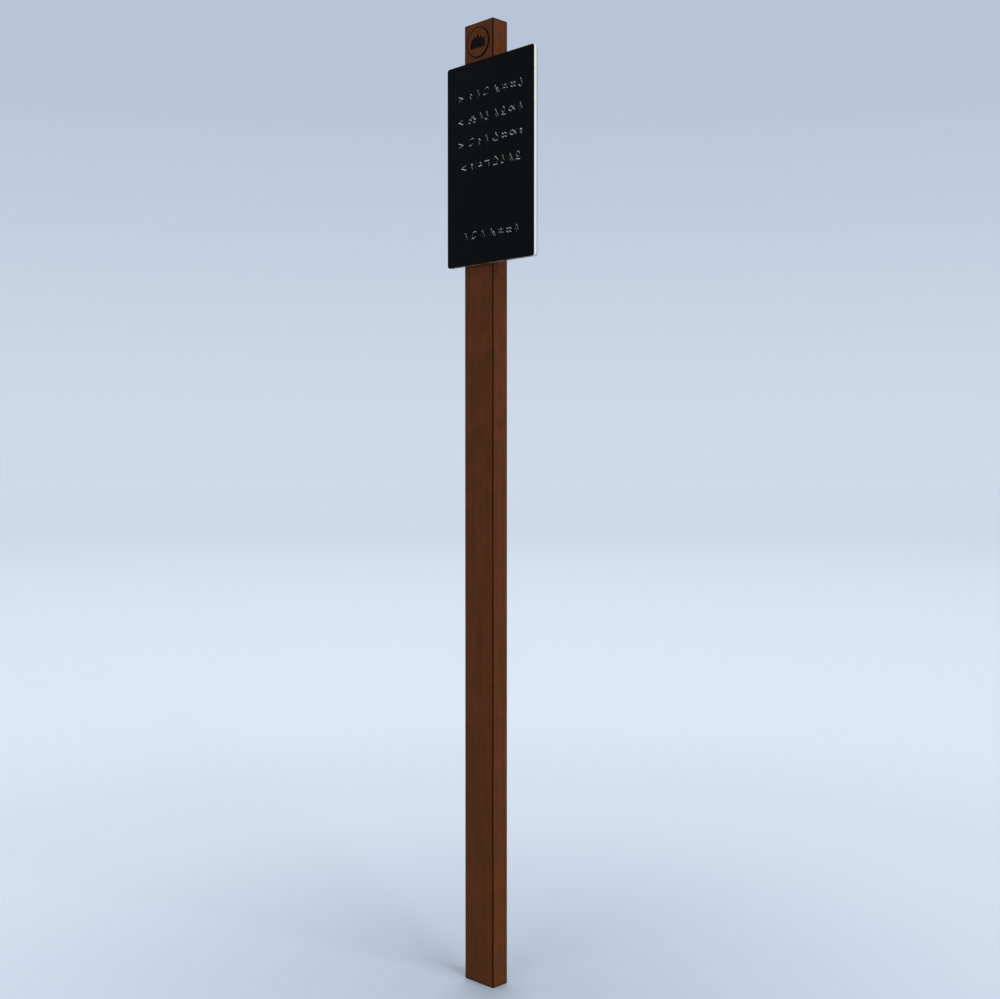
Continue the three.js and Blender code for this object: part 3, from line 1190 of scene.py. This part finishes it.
@dataclass
class FixingGrid:
    """Where the fasteners are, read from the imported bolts."""

    names: tuple[str, ...] = tuple(
        f"{row}_{column}" for row in ("top", "middle", "bottom") for column in ("left", "right")
    )

    def centre(self, name: str) -> Vector:
        """Gives a bolt's axis, at the front of the post."""
        low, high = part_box(f"bolt_{name}")
        return Vector(((low.x + high.x) / 2, 0, (low.z + high.z) / 2))

    def centres(self) -> list[Vector]:
        """Gives every axis, in the order of the names."""
        return [self.centre(name) for name in self.names]

    def across(self) -> float:
        """Distance of each column from the post's centre line."""
        return max(centre.x for centre in self.centres())

    def top(self) -> float:
        """Height of the top row."""
        return max(centre.z for centre in self.centres())

    def pitch(self) -> float:
        """Height between rows."""
        heights = sorted({round(centre.z, 5) for centre in self.centres()})
        return heights[1] - heights[0]

    def extent(self, kind: str) -> tuple[float, float, float]:
        """Gives a kind of fastener's lowest and highest Y and its largest radius."""
        low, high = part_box(f"{kind}_{self.names[0]}")
        return low.y, high.y, (high.x - low.x) / 2


@dataclass
class Fixings:
    """The bolts, washers and inserts that hold the panel, each modelled once and then copied."""

    grid: FixingGrid
    sides: int = 48
    bolt_radius: float = 3.175 * MM
    tip_chamfer: float = 0.8 * MM
    head_flat_radius: float = 3.1 * MM
    head_rim: float = 0.6 * MM
    dome_steps: int = 8
    socket_across_flats: float = 3.97 * MM
    socket_depth: float = 2.1 * MM
    socket_mouth: float = 0.15 * MM
    socket_sides: int = 6
    pin_radius: float = 0.7 * MM
    pin_drop: float = 0.3 * MM
    pin_ease: float = 0.2 * MM
    pin_sides: int = 24
    thread_pitch: float = 1.27 * MM
    thread_steps: int = 24
    bolt_root: float = 2.25 * MM
    bolt_turns: int = 20
    thread_margin: float = 0.1 * MM
    lead_in_turns: float = 2.5
    washer_bore: float = 3.475 * MM
    washer_ease: float = 0.2 * MM
    washer_ease_steps: int = 2
    insert_radius: float = 4.75 * MM
    insert_bore: float = 2.6 * MM
    insert_root: float = 3.42 * MM
    flange_thickness: float = 0.97 * MM
    insert_ease: float = 0.25 * MM
    groove_starts: tuple[float, ...] = (1.6325 * MM, 5.8975 * MM)
    groove_width: float = 1 * MM
    groove_depth: float = 0.45 * MM
    knurl_depth: float = 0.22 * MM
    steel: MetalFinish = MetalFinish("satin_stainless", "#b9babb", "#8e8e8d", 0.34)
    brass: MetalFinish = MetalFinish("turned_brass", "#c2994a", "#8a6a35", 0.32)

    def build(self) -> list[Piece]:
        """Models and dresses every fastener."""
        layout = (self.grid.across(), self.grid.top(), self.grid.pitch())
        steel = self.steel.material(*layout)
        brass = self.brass.material(*layout)
        kinds = (
            ("button_bolt", "bolt", self.bolt, steel, Slot.STAINLESS),
            ("flat_washer", "washer", self.washer, steel, Slot.STAINLESS),
            ("brass_insert", "insert", self.insert, brass, Slot.BRASS),
        )
        pieces: list[Piece] = []
        for title, node, model, material, slot in kinds:
            master = smooth(tidy_faces(model()))
            for name, centre in zip(self.grid.names, self.grid.centres()):
                piece = copied(master, f"{title}_{name}", centre)
                pieces.append(dress(piece, material, [f"{node}_{name}"]))
            throw_away(master)
        return pieces

    def bolt(self) -> Piece:
        """Models a button-head bolt with a pinned six-sided socket, about the Y axis."""
        tip, top, rim = self.grid.extent("bolt")
        seat = self.grid.extent("washer")[1]
        bolt = turned("bolt", Vector(), [
            (self.bolt_radius - self.tip_chamfer, tip),
            (self.bolt_radius, tip + self.tip_chamfer),
            (self.bolt_radius, seat),
            (rim, seat),
            *self.dome(rim, seat + self.head_rim, self.head_flat_radius, top),
        ], self.sides)
        mouth = self.bolt_radius + self.thread_margin
        thread = self.thread_cutter(self.bolt_root, mouth, tip - self.thread_pitch, self.bolt_turns)
        combine(bolt, thread, "DIFFERENCE")
        return combine(bolt, self.socket(top), "DIFFERENCE")

    def dome(self, rim: float, rim_y: float, flat: float, flat_y: float) -> Stroke:
        """Gives the round of the head, from its rim to its flat top, about a centre on the axis."""
        centre = (flat**2 + flat_y**2 - rim**2 - rim_y**2) / (2 * (flat_y - rim_y))
        radius = math.hypot(rim, rim_y - centre)
        start = math.degrees(math.atan2(rim_y - centre, rim))
        end = math.degrees(math.atan2(flat_y - centre, flat))
        return arc(0, centre, radius, start, end, self.dome_steps)

    def socket(self, top: float) -> Piece:
        """Models the cutter of the socket, with an eased mouth and a hollow for its pin."""
        floor = top - self.socket_depth
        corner = self.socket_across_flats / math.sqrt(3)
        mouth = corner + self.socket_mouth
        hollow = turned("socket", Vector(), [
            (corner, floor),
            (corner, top - self.socket_mouth),
            (mouth, top),
            (mouth, top + CUT_MARGIN),
        ], self.socket_sides)
        pin_top = top - self.pin_drop
        pin = turned("socket_pin", Vector(), [
            (self.pin_radius, floor - CUT_MARGIN),
            (self.pin_radius, pin_top - self.pin_ease),
            (self.pin_radius - self.pin_ease, pin_top),
        ], self.pin_sides)
        return combine(hollow, pin, "DIFFERENCE")

    def thread_cutter(self, point: float, back: float, start: float, turns: int) -> Piece:
        """Models the path of a pointed 60 degree cutter along a right-hand thread about Y.

        Args:
            point: Radius that the cutter's point reaches.
            back: Radius of its flat back, clear of the metal.
            start: Y of the cutter's middle where the path starts.
            turns: Number of turns.

        Returns:
            The closed cutter.
        """
        to_middle = (back - point) * 2 / 3
        bpy.ops.mesh.primitive_circle_add(
            vertices=3,
            radius=abs(to_middle),
            location=(point + to_middle, start, 0),
            rotation=(0, 0, math.copysign(math.pi / 2, to_middle)),
        )
        cutter = settle(bpy.context.object, "thread_cutter")
        sweep = cutter.modifiers.new("sweep", "SCREW")
        sweep.axis = "Y"
        sweep.angle = 2 * math.pi
        sweep.screw_offset = self.thread_pitch
        sweep.iterations = turns
        sweep.steps = self.thread_steps
        sweep.render_steps = self.thread_steps
        apply_all(cutter)
        with editing(cutter):
            bpy.ops.mesh.select_all(action="SELECT")
            bpy.ops.mesh.fill_holes(sides=3)
            close_up()
        return cutter

    def washer(self) -> Piece:
        """Models a flat washer with eased edges, about the Y axis."""
        near, far, outer = self.grid.extent("washer")
        ease = self.washer_ease
        washer = turned("washer", Vector(), [
            *arc(outer - ease, near + ease, ease, -90, 0, self.washer_ease_steps),
            *arc(outer - ease, far - ease, ease, 0, 90, self.washer_ease_steps),
        ], self.sides)
        hole = turned("washer_hole", Vector(), [
            (self.washer_bore, near - CUT_MARGIN),
            (self.washer_bore, far - ease),
            (self.washer_bore + ease + CUT_MARGIN, far + CUT_MARGIN),
        ], self.sides)
        return combine(washer, hole, "DIFFERENCE")

    def insert(self) -> Piece:
        """Models a knurled and grooved insert with a flange and an inner thread, about the Y axis."""
        near, far, flange = self.grid.extent("insert")
        wall = self.insert_radius
        ease = self.insert_ease
        waist = wall - self.groove_depth
        profile: list[Point] = [(wall - ease, near), (wall, near + ease)]
        for start in self.groove_starts:
            first = near + start
            last = first + self.groove_width
            profile += [(wall, first), (waist, first), (waist, last), (wall, last)]
        neck = far - self.flange_thickness
        profile += [(wall, neck), (flange, neck), (flange, far - ease), (flange - ease, far)]
        insert = turned("insert", Vector(), profile, self.sides)
        pulled = (wall - self.knurl_depth) / wall
        step = 2 * math.pi / self.sides
        with editing(insert):
            choose(insert, Kind.VERTS, lambda v: (
                abs(math.hypot(v.co.x, v.co.z) - wall) < PLANE_TOLERANCE
                and round(math.atan2(v.co.z, v.co.x) / step) % 2 == 1
            ))
            bpy.ops.transform.resize(value=(pulled, 1, pulled), center_override=(0, near, 0))
        ends = (near - CUT_MARGIN, far + CUT_MARGIN)
        bore = rod("insert_bore", Vector(), self.insert_bore, *ends, self.sides)
        combine(insert, bore, "DIFFERENCE")
        start = self.grid.extent("bolt")[0] - self.lead_in_turns * self.thread_pitch
        turns = math.ceil((far - start) / self.thread_pitch) + 1
        back = self.insert_bore - self.thread_margin
        thread = self.thread_cutter(self.insert_root, back, start, turns)
        return combine(insert, thread, "DIFFERENCE")


@dataclass
class EmblemDisc:
    """The round disc at the post's top, with pines pocketed in its face and two pegs on its back."""

    thickness: float = 3.175 * MM
    rim_ease: float = 0.5 * MM
    rim_steps: int = 3
    sides: int = 128
    peg_diameter: float = 6.35 * MM
    peg_pitch: float = 38.1 * MM
    peg_chamfer: float = 0.8 * MM
    peg_sides: int = 32
    pocket_depth: float = 1.2 * MM
    mound_width: float = 54 * MM
    mound_height: float = 10 * MM
    mound_drop: float = 14.4 * MM
    mound_round_share: float = 0.45
    mound_steps: int = 6
    pine_sink: float = 5 * MM
    pines: tuple[tuple[float, float], ...] = (
        (-19.4 * MM, 23.5 * MM),
        (-9.8 * MM, 27.5 * MM),
        (0.2 * MM, 31 * MM),
        (10.2 * MM, 27 * MM),
        (19.6 * MM, 22.5 * MM),
    )
    bough_shares: tuple[tuple[float, float, float], ...] = (
        (0.08, 0.46, 0.8),
        (0.32, 0.42, 0.62),
        (0.54, 0.46, 0.46),
    )
    trunk_width_share: float = 0.12
    trunk_height_share: float = 0.2
    finish: DiscFinish = field(default_factory=DiscFinish)

    def build(self) -> Piece:
        """Models and dresses the disc."""
        low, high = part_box("emblem_disc")
        radius = (high.x - low.x) / 2
        face = Vector(((low.x + high.x) / 2, low.y, (low.z + high.z) / 2))
        ease = self.rim_ease
        disc = turned("pine_emblem_disc", face, [
            *arc(radius - ease, ease, ease, -90, 0, self.rim_steps),
            (radius, self.thickness),
        ], self.sides)
        for side in (-1, 1):
            centre = face + Vector((side * self.peg_pitch / 2, 0, 0))
            combine(disc, self.peg(centre, high.y - low.y), "UNION")
        combine(disc, self.grove(face), "DIFFERENCE")
        tidy_faces(disc)
        smooth(disc)
        return dress(disc, self.finish.material(face, radius), ["emblem_disc"])

    def peg(self, centre: Vector, length: float) -> Piece:
        """Models one peg, from inside the disc to its chamfered tip."""
        radius = self.peg_diameter / 2
        profile = [
            (radius, self.thickness / 2),
            (radius, length - self.peg_chamfer),
            (radius - self.peg_chamfer, length),
        ]
        return turned("disc_peg", centre, profile, self.peg_sides)

    def grove(self, face: Vector) -> Piece:
        """Models the cutter of the whole emblem: five pines on a mound."""
        foot = face.z - self.mound_drop
        near = face.y - CUT_MARGIN
        floor = face.y + self.pocket_depth
        half = self.mound_width / 2
        emblem = block("mound", Vector((face.x - half, near, foot)),
                       Vector((face.x + half, floor, foot + self.mound_height)))
        with editing(emblem):
            choose(emblem, Kind.EDGES, lambda e: runs_along(e, 1))
            rounding = self.mound_round_share * self.mound_height
            bpy.ops.mesh.bevel(offset=rounding, segments=self.mound_steps, profile=0.5)
        pine = self.pine(near, floor)
        for across, height in self.pines:
            offset = Vector((face.x + across, 0, foot + self.mound_height - self.pine_sink))
            combine(emblem, copied(pine, "pine", offset, height), "UNION")
        throw_away(pine)
        return emblem

    def pine(self, near: float, floor: float) -> Piece:
        """Models the cutter of one pine of unit height, with its foot on the origin."""
        half_trunk = self.trunk_width_share / 2
        tree = block("trunk", Vector((-half_trunk, near, 0)),
                     Vector((half_trunk, floor, self.trunk_height_share)))
        for base, rise, width in self.bough_shares:
            low_corner = Vector((-width / 2, near, base))
            high_corner = Vector((width / 2, floor, base + rise))
            tree = combine(tree, self.bough(low_corner, high_corner), "UNION")
        return tree

    def bough(self, low: Vector, high: Vector) -> Piece:
        """Models one layer of boughs: a box whose top edge is drawn in to a point."""
        layer = block("bough", low, high)
        middle = (low + high) / 2
        with editing(layer):
            choose(layer, Kind.VERTS, lambda v: v.co.z > middle.z)
            bpy.ops.transform.resize(value=(0, 1, 1), center_override=(middle.x, low.y, high.z))
            close_up()
        return layer


@dataclass
class LumberPost:
    """The post, with eased arrises, porous sawn ends, and holes for the bolts and the disc's pegs."""

    grid: FixingGrid
    disc: EmblemDisc
    edge_radius: float = 1.2 * MM
    edge_steps: int = 4
    end_bevel: float = 0.8 * MM
    end_steps: int = 2
    hole_diameter: float = 7.95 * MM
    counterbore_diameter: float = 22.05 * MM
    mouth_ease: float = 0.5 * MM
    peg_play: float = 0.6 * MM
    peg_spare: float = 1.3 * MM
    hole_sides: int = 64
    pore_seed: int = 11
    pore_count: int = 34
    pore_radii: tuple[float, float] = (0.7 * MM, 2.1 * MM)
    pore_gap: float = 0.6 * MM
    pore_subdivisions: int = 2
    pore_rise_share: float = 0.6
    solid_skin: float = 6 * MM
    finish: LumberFinish = field(default_factory=LumberFinish)

    def build(self) -> Piece:
        """Models and dresses the post."""
        low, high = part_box("post")
        post = block("lumber_post", low, high)
        with editing(post):
            choose(post, Kind.EDGES, lambda e: runs_along(e, 2))
            bpy.ops.mesh.bevel(offset=self.edge_radius, segments=self.edge_steps, profile=0.5)
            choose(post, Kind.EDGES, lambda e: lies_at(e, 2, (low.z, high.z)))
            bpy.ops.mesh.bevel(offset=self.end_bevel, segments=self.end_steps, profile=0.5)
        cutters = self.bolt_holes(low, high) + self.peg_holes(low) + self.pores(low, high)
        combine(post, joined(cutters, "hole_cutters"), "DIFFERENCE")
        tidy_faces(post)
        smooth(post)
        return dress(post, self.finish.material(low, high), ["post"])

    def pores(self, low: Vector, high: Vector) -> list[Piece]:
        """Models the cutters of the shallow open pores in the heart of both sawn ends."""
        draw = random.Random(self.pore_seed)
        margin = self.solid_skin + max(self.pore_radii)
        cutters: list[Piece] = []
        for end, outward in ((low.z, -1), (high.z, 1)):
            places: list[tuple[float, float, float]] = []
            while len(places) < self.pore_count:
                across = draw.uniform(low.x + margin, high.x - margin)
                depth = draw.uniform(low.y + margin, high.y - margin)
                radius = draw.uniform(*self.pore_radii)
                if all(
                    math.hypot(across - x, depth - y) > radius + r + self.pore_gap for x, y, r in places
                ):
                    places.append((across, depth, radius))
            for across, depth, radius in places:
                rise = outward * self.pore_rise_share * radius
                bpy.ops.mesh.primitive_ico_sphere_add(
                    subdivisions=self.pore_subdivisions,
                    radius=radius,
                    location=(across, depth, end + rise),
                )
                cutters.append(settle(bpy.context.object, "pore_cutter"))
        return cutters

    def bolt_holes(self, low: Vector, high: Vector) -> list[Piece]:
        """Models the stepped cutter of each bolt's hole, with its mouth at the back eased."""
        cutters: list[Piece] = []
        for name, centre in zip(self.grid.names, self.grid.centres()):
            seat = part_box(f"washer_{name}")[0].y
            narrow = self.hole_diameter / 2
            wide = self.counterbore_diameter / 2
            hole = rod("hole", centre, narrow, low.y - CUT_MARGIN, high.y, self.hole_sides)
            well = turned("well", centre, [
                (wide, seat),
                (wide, high.y - self.mouth_ease),
                (wide + self.mouth_ease + CUT_MARGIN, high.y + CUT_MARGIN),
            ], self.hole_sides)
            cutters.append(combine(hole, well, "UNION"))
        return cutters

    def peg_holes(self, low: Vector) -> list[Piece]:
        """Models the cutters of the two blind holes for the disc's pegs."""
        disc_low, disc_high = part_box("emblem_disc")
        middle = (disc_low + disc_high) / 2
        radius = (self.disc.peg_diameter + self.peg_play) / 2
        floor = disc_high.y + self.peg_spare
        return [
            rod("peg_hole", middle + Vector((side * self.disc.peg_pitch / 2, 0, 0)), radius,
                low.y - CUT_MARGIN, floor, self.hole_sides)
            for side in (-1, 1)
        ]


@dataclass
class SignPanel:
    """The panel: a white core between two black skins, routed from the front."""

    grid: FixingGrid
    corner_radius: float = 6.35 * MM
    corner_steps: int = 12
    edge_ease: float = 0.4 * MM
    edge_steps: int = 2
    pocket_depth: float = 1.1 * MM
    insert_pocket: float = 10.1 * MM
    flange_pocket: float = 13.3 * MM
    insert_length: float = 9.8 * MM
    hole_sides: int = 48
    skin_finish: SkinFinish = field(default_factory=SkinFinish)
    core_finish: CoreFinish = field(default_factory=CoreFinish)

    def build(self) -> list[Piece]:
        """Models and dresses the three layers."""
        front_low, front_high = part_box("panel_front_skin")
        core_low, core_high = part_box("panel_core")
        rear_low, rear_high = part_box("panel_rear_skin")
        front = self.layer("black_front_skin", front_low, front_high, front_low.y)
        core = self.layer("white_core_sheet", core_low, core_high, None)
        rear = self.layer("black_rear_skin", rear_low, rear_high, rear_high.y)
        legend = Legend(
            centre=(front_low.x + front_high.x) / 2,
            top=front_high.z,
            near=front_low.y - CUT_MARGIN,
            floor=front_high.y + self.pocket_depth,
        )
        cutters = legend.build()
        combine(front, copied(cutters, "skin_cutters", Vector((0, 0, 0))), "DIFFERENCE")
        combine(core, cutters, "DIFFERENCE")
        self.drill(core, self.insert_pocket, rear_high.y - self.insert_length, core_high.y + CUT_MARGIN)
        self.drill(rear, self.flange_pocket, rear_low.y - CUT_MARGIN, rear_high.y + CUT_MARGIN)
        black = self.skin_finish.material()
        white = self.core_finish.material(core_low, core_high, self.corner_radius, self.pocket_depth)
        for piece in (front, core, rear):
            tidy_faces(piece)
            smooth(piece)
        return [
            dress(front, black, ["panel_front_skin"]),
            dress(core, white, ["panel_core"]),
            dress(rear, black, ["panel_rear_skin"]),
        ]

    def layer(self, name: str, low: Vector, high: Vector, eased: float | None) -> Piece:
        """Models one layer with round corners, and eases its outline on one face.

        Args:
            name: Name of the layer.
            low: Its lowest corner.
            high: Its highest corner.
            eased: Y of the face whose outline is eased, or None.

        Returns:
            The layer.
        """
        sheet = block(name, low, high)
        with editing(sheet):
            choose(sheet, Kind.EDGES, lambda e: runs_along(e, 1))
            bpy.ops.mesh.bevel(offset=self.corner_radius, segments=self.corner_steps, profile=0.5)
            if eased is not None:
                choose(sheet, Kind.EDGES, lambda e: lies_at(e, 1, (eased,)))
                bpy.ops.mesh.bevel(offset=self.edge_ease, segments=self.edge_steps, profile=0.5)
        return sheet

    def drill(self, sheet: Piece, diameter: float, near: float, far: float) -> None:
        """Drills the pocket of each insert into a layer."""
        bar = (diameter / 2, near, far, self.hole_sides)
        cutters = [rod("pocket", centre, *bar) for centre in self.grid.centres()]
        combine(sheet, joined(cutters, "insert_pockets"), "DIFFERENCE")


def main() -> None:
    """Builds the studio and the sign."""
    logging.basicConfig(level=logging.INFO, format="%(name)s %(message)s")
    put_down()
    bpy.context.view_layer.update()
    Studio().build()
    grid = FixingGrid()
    disc = EmblemDisc()
    disc.build()
    LumberPost(grid, disc).build()
    SignPanel(grid).build()
    Fixings(grid).build()


if __name__ == "__main__":
    main()
